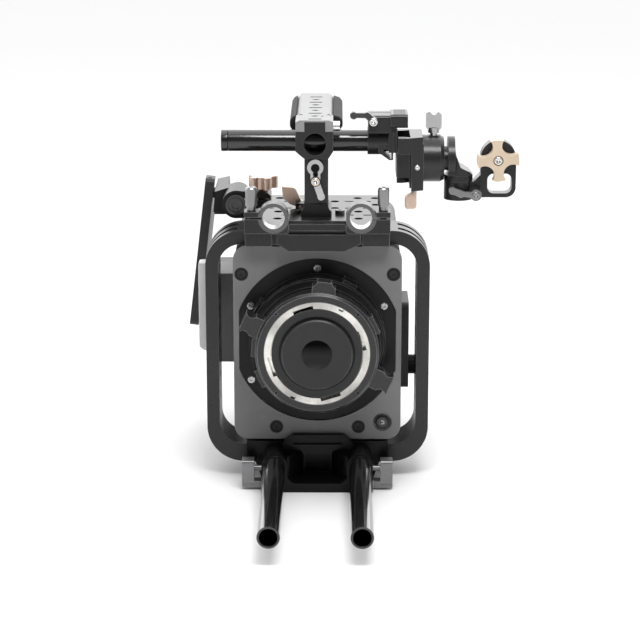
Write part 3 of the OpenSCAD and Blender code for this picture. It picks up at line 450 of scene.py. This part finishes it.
def ring_piece(centre, axis, r0, r1, h, ch=0.15):
    def build(bm):
        prof = [(0, r0), (0, r1 - ch), (ch, r1), (h - ch, r1), (h, r1 - ch), (h, r0 + ch), (h - ch, r0), (0, r0)]
        lathe(bm, centre, axis, prof)
        bmesh.ops.remove_doubles(bm, verts=bm.verts, dist=1e-7)
    return build


F = (0, -1, 0)
LENS_Z = float(sum(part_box("body_cap")[k].z for k in (0, 1))) / 2 / MM
# star knob: black ring and a bright socket screw in its middle
piece("star_washer", "base_black", ring_piece((124.3, -84.55, 231.6), F, 2.92, 3.48, 0.3, 0.05), "star_knob")
piece("star_bolt", "steel", socket_head((124.3, -85.55, 231.6), F, 2.75, 0.42, 1.2, 0.35), "star_knob")
# handle lever: its ring screw
piece("lever_bolt", "steel", socket_head((-1.3, -86.75, 217), F, 2.3, 0.5, 1.1, 0.45), "handle_lever")
piece("lever_ring", "sand", ring_piece((-1.3, -86.7, 217), F, 2.32, 3.0, 0.4, 0.1), "handle_lever")
piece("lever_washer", "base_black", ring_piece((-1.3, -85.95, 217), F, 3.02, 3.6, 0.25, 0.05), "handle_lever")
# clamp lever screw
piece("clamp_bolt", "steel", socket_head((38.4, -85.95, 258.5), F, 2.9, 0.8, 1.2, 0.6), "clamp_lever")
# slide plate: small set screw in its bore
piece("slide_bolt", "steel", socket_head((68.6, -84.5, 227), F, 1.8, 2.6, 0.8, 0.9), "slide_plate")
# swivel lever: its screw
piece("swivel_bolt", "steel_rough", socket_head((109.4, -86.35, 207.4), F, 2.7, 0.8, 1.2, 0.6), "swivel_lever")
# side rod: black ring in its end recess
piece("side_rod_ring", "dark_steel", ring_piece((-58.1, -45.95, 192.2), F, 3.1, 5.5, 0.4), "side_rod")
# dark ring over the outer band of each of the plate's screws, painted shade of its counterbore
for i, (x, z) in enumerate(plate_holes):
    piece("plate_screw_shade_ring_%d" % i, "base_black", ring_piece((x, -87.95, z), F, 2.9, 4.12, 0.16, 0.04), "plate_screws")
# body cap: a dark ring round its disc, painted shadow cast by the raised disc
piece("cap_disc_shadow_ring", "base_black", ring_piece((0, -123.05, LENS_Z), F, 24.72, 26.4, 0.16, 0.05), "body_cap")


def arc_band(cx, cz, r0, r1, a0, a1, y0, y1, n=14):
    """A flat band along an arc in the XZ plane, from y0 to y1."""
    def build(bm):
        rows = []
        for k in range(n + 1):
            a = math.radians(a0 + (a1 - a0) * k / n)
            rows.append([bm.verts.new(Vector((cx + r * math.cos(a), y, cz + r * math.sin(a))) * MM)
                         for r, y in ((r0, y0), (r1, y0), (r1, y1), (r0, y1))])
        for p, q in zip(rows, rows[1:]):
            for j in range(4):
                j2 = (j + 1) % 4
                bm.faces.new((p[j], p[j2], q[j2], q[j]))
        bm.faces.new(rows[0])
        bm.faces.new(rows[-1][::-1])
    return build


# assign button: a small round mark, and bright arcs of painted highlight in the ring round it
piece("assign_mark", "mark", arc_band(46, 44.3, 0.9, 1.35, -140, 140, -89.25, -89.42), "assign_button")
piece("assign_highlight_arc_a", "screw_steel", arc_band(46, 44.3, 5.7, 6.2, 20, 120, -86.95, -87.5), "front_plate")
piece("assign_highlight_arc_b", "screw_steel", arc_band(46, 44.3, 5.7, 6.2, 190, 320, -86.95, -87.5), "front_plate")
# assign button: its raised ring
piece("assign_ring", "screw_grey", ring_piece((46, -87.9, 44.3), F, 4.3, 5.0, 0.35, 0.08), "front_plate")
piece("assign_rim", "screw_grey", ring_piece((46, -89.25, 44.3), F, 3.2, 3.7, 0.15, 0.05), "assign_button")
# handle spine: strap bolts between the slots
for i, y in enumerate((-65.7, -41.6, -17.7, 6.4)):
    piece("spine_bolt_%d" % i, "dark_steel", socket_head((-1.8, y, 257.85), (0, 0, 1), 2.3, 1.2, 1.2, 0.8), "handle_spine")

# ------------------------------------------------------------------ floor and light
floor_mesh = bpy.data.meshes.new("floor")
floor_mesh.from_pydata([(-9, -5, 0), (9, -5, 0), (9, 16, 0), (-9, 16, 0)], [], [(0, 1, 2, 3)])
floor = bpy.data.objects.new("floor", floor_mesh)
bpy.context.scene.collection.objects.link(floor)
floor.location = (0, 0, -0.0001)
fm = finish_mat("floor_paper", (0.93, 0.93, 0.93), 0.9, spec=0.1, tone=0.003, tone_scale=1.5, grain=0.0)
floor.data.materials.append(fm)

world = bpy.data.worlds.new("studio")
bpy.context.scene.world = world
world.use_nodes = True
wn = world.node_tree
bg = wn.nodes["Background"]
tc = wn.nodes.new("ShaderNodeTexCoord")
sep = wn.nodes.new("ShaderNodeSeparateXYZ")
wn.links.new(tc.outputs["Generated"], sep.inputs[0])


def ramp(x, lo, hi, a=0.0, b=1.0):
    n = wn.nodes.new("ShaderNodeMapRange")
    n.interpolation_type = "SMOOTHSTEP"
    n.inputs["From Min"].default_value, n.inputs["From Max"].default_value = lo, hi
    n.inputs["To Min"].default_value, n.inputs["To Max"].default_value = a, b
    wn.links.new(x, n.inputs["Value"])
    return n.outputs["Result"]


zz, yy, xx = sep.outputs["Z"], sep.outputs["Y"], sep.outputs["X"]
# a bright wall behind and beside, a soft top, a dim front
around = math_node(wn, "MULTIPLY", ramp(yy, -0.12, 0.42), ramp(zz, 1.02, 0.55, 0.0, 1.0))
top = ramp(zz, 0.5, 1.0)
low_front = math_node(wn, "MULTIPLY", ramp(yy, 0.1, -0.7), ramp(zz, 0.75, 0.1))
s = math_node(wn, "MULTIPLY", around, 2.3)
s = math_node(wn, "ADD", s, math_node(wn, "MULTIPLY", top, 0.6))
s = math_node(wn, "ADD", s, math_node(wn, "MULTIPLY", low_front, 0.10))
s = math_node(wn, "ADD", s, 0.10)
wn.links.new(s, bg.inputs["Strength"])
bg.inputs["Color"].default_value = (1, 1, 1, 1)


def area(name, loc, target, size, power, size_y=None):
    d = bpy.data.lights.new(name, "AREA")
    d.shape = "RECTANGLE"
    d.size, d.size_y = size, size_y or size
    d.energy = power
    o = bpy.data.objects.new(name, d)
    o.location = loc
    o.rotation_euler = (Vector(target) - Vector(loc)).to_track_quat("-Z", "Y").to_euler()
    bpy.context.scene.collection.objects.link(o)
    return o


area("overhead", (-0.1, 0.15, 1.5), (0, -0.02, 0.1), 1.3, 6.5, 1.1)
area("front_top", (0.08, -0.36, 0.62), (0.02, -0.09, 0.17), 0.30, 2.3, 0.16)
